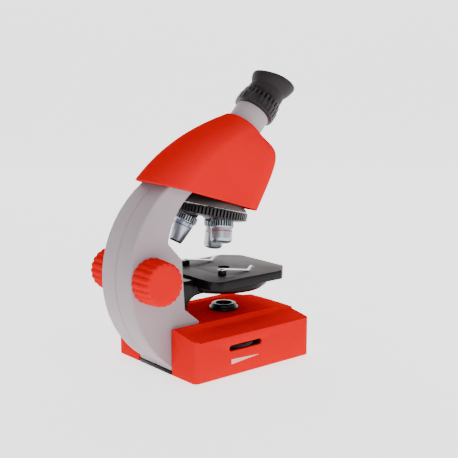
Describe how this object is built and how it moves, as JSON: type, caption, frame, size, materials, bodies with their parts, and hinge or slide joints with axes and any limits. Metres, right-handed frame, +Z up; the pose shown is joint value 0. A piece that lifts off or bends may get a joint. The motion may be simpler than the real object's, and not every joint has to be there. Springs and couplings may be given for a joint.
{
  "type": "kids microscope",
  "caption": "Toy microscope: base with lamp, curved arm, focusing stage with clips, turning objective turret, hooded head and slanted eyepiece.",
  "frame": {"origin": "on the table under the middle of the object's bounding box", "axes": "+Z up; +Y towards the curved arm and focus knobs; -Y towards the eyepiece; X from side to side, the dimmer slot is on -X"},
  "size_m": [0.118, 0.1991, 0.2629],
  "materials": {
    "red_plastic": "moulded, satin",
    "grey_plastic": "moulded, fine matt",
    "black_plastic": "moulded, satin",
    "dark_plastic": "moulded, fine grain",
    "rubber": "soft, matt",
    "foot_rubber": "matt",
    "nylon": "natural",
    "steel": "plated",
    "objective_metal": "turned, satin",
    "spring_steel": "bright plated",
    "optical_glass": "polished",
    "lens_cover": "clear",
    "led_resin": "clear",
    "circuit_laminate": "solder mask",
    "potentiometer": "moulded",
    "cell_sleeve": "plastic film sleeve"
  },
  "bodies": {
    "base": {"base_cover": "red_plastic", "base_plate": "black_plastic", "battery_door": "dark_plastic", "battery_tray": "dark_plastic", "battery_1": "cell_sleeve", "battery_2": "cell_sleeve", "battery_contact_1": "steel", "battery_contact_2": "steel", "lamp_ring": "black_plastic", "lamp_lens": "lens_cover", "circuit_board": "circuit_laminate", "lamp_led": "led_resin", "dimmer_pot": "potentiometer", "arm_left": "grey_plastic", "arm_right": "grey_plastic", "head_cover": "red_plastic", "head_floor": "black_plastic", "prism_holder": "black_plastic", "prism": "optical_glass", "turret_mount": "dark_plastic", "turret_pivot": "steel", "detent_spring": "spring_steel", "eyepiece_tube": "grey_plastic", "foot_1": "foot_rubber", "base_screw_1": "steel", "foot_2": "foot_rubber", "base_screw_2": "steel", "foot_3": "foot_rubber", "base_screw_3": "steel", "foot_4": "foot_rubber", "base_screw_4": "steel", "arm_screw_1": "steel", "arm_foot_screw_1": "steel", "arm_screw_2": "steel", "arm_foot_screw_2": "steel"},
    "focus": {"pinion_shaft": "nylon", "knob_left": "red_plastic", "knob_right": "red_plastic"},
    "stage": {"stage_carrier": "black_plastic", "stage_plate": "dark_plastic", "rack": "nylon", "filter_pivot": "steel"},
    "clip_left": {"clip_post_left": "black_plastic", "clip_spring_left": "spring_steel"},
    "clip_right": {"clip_post_right": "black_plastic", "clip_spring_right": "spring_steel"},
    "filter": {"filter_disc": "black_plastic"},
    "turret": {"turret_ring": "black_plastic", "objective_low": "objective_metal", "objective_mid": "objective_metal", "objective_high": "objective_metal", "objective_lens_low": "optical_glass", "objective_lens_mid": "optical_glass", "objective_lens_high": "optical_glass"},
    "dimmer": {"dimmer_wheel": "black_plastic"},
    "eyepiece": {"eyepiece_barrel": "black_plastic", "eyepiece_grip": "black_plastic", "eyecup": "rubber", "eye_lens": "optical_glass", "field_lens": "optical_glass"}
  },
  "joints": [
    {"name": "focus_knob", "type": "hinge", "parent": "base", "child": "focus", "pos_m": [0, 0.079, 0.0883], "axis": [-1, 0, 0], "range_deg": [-45, 124]},
    {"name": "stage_focus", "type": "slide", "parent": "base", "child": "stage", "axis": [0, 0, 1], "range_m": [-0.005, 0.014]},
    {"name": "turret_turn", "type": "hinge", "parent": "base", "child": "turret", "pos_m": [0, -0.004, 0.1404], "axis": [0, -0.2419, 0.9703], "continuous": true},
    {"name": "dimmer_turn", "type": "hinge", "parent": "base", "child": "dimmer", "pos_m": [-0.0388, 0.00375, 0.0256], "axis": [0, 0, 1], "range_deg": [-135, 135]},
    {"name": "eyepiece_draw", "type": "slide", "parent": "base", "child": "eyepiece", "axis": [0, -0.682, 0.7314], "range_m": [0, 0.02]},
    {"name": "filter_turn", "type": "hinge", "parent": "stage", "child": "filter", "pos_m": [0, -0.0374, 0.0705], "axis": [0, 0, 1], "continuous": true},
    {"name": "clip_left_swing", "type": "hinge", "parent": "stage", "child": "clip_left", "pos_m": [-0.027, 0.0046, 0.0825], "axis": [0, 0, 1], "range_deg": [-40, 20]},
    {"name": "clip_right_swing", "type": "hinge", "parent": "stage", "child": "clip_right", "pos_m": [0.027, 0.0046, 0.0825], "axis": [0, 0, 1], "range_deg": [-20, 40]}
  ],
  "couplings": [
    {"joint": "focus_knob", "follows": "stage_focus", "rad_per_m": 153.85}
  ]
}
